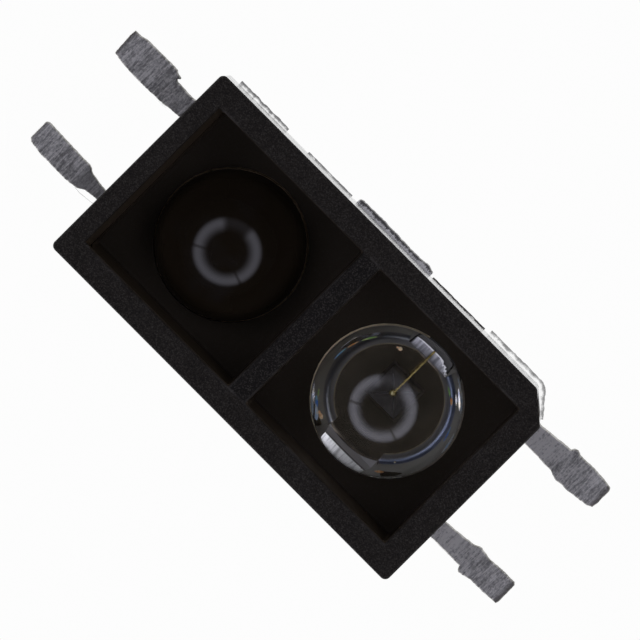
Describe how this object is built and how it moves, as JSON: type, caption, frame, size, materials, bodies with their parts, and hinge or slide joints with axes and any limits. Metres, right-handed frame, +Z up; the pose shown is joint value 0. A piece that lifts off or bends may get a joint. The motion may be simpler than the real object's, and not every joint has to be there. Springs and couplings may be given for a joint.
{
  "type": "reflective optical sensor",
  "caption": "Oblong black cap with a partition between a clear emitter dome and a black detector dome, a keyed corner, and flat leads from both ends.",
  "frame": {"origin": "centre of the underside of the resin mouldings, under the middle of the lead-to-lead length", "axes": "+X from the detector end to the emitter end, +Y to the side with the chamfered corner, +Z up, the way the domes look"},
  "size_m": [0.013, 0.0048, 0.0028],
  "materials": {
    "black_cap": "matte moulded with a fine spark-eroded texture",
    "clear_resin": "clear polished moulding resin",
    "infrared_resin": "black polished moulding resin",
    "tinned_lead": "dull tin plating",
    "silver_adhesive": "dull silver-filled adhesive",
    "emitter_chip": "polished semiconductor with a gilt electrode",
    "detector_chip": "polished semiconductor",
    "gold": "bright gold wire"
  },
  "bodies": {
    "root": {"housing": "black_cap", "emitter_body": "clear_resin", "detector_body": "infrared_resin", "emitter_die_lead": "tinned_lead", "emitter_post_lead": "tinned_lead", "detector_die_lead": "tinned_lead", "detector_post_lead": "tinned_lead", "emitter_die": "emitter_chip", "detector_die": "detector_chip", "emitter_die_attach": "silver_adhesive", "detector_die_attach": "silver_adhesive", "emitter_bond_wire": "gold", "detector_bond_wire": "gold", "tie_bar_plus_y": "tinned_lead", "tie_bar_minus_y": "tinned_lead"}
  },
  "joints": []
}
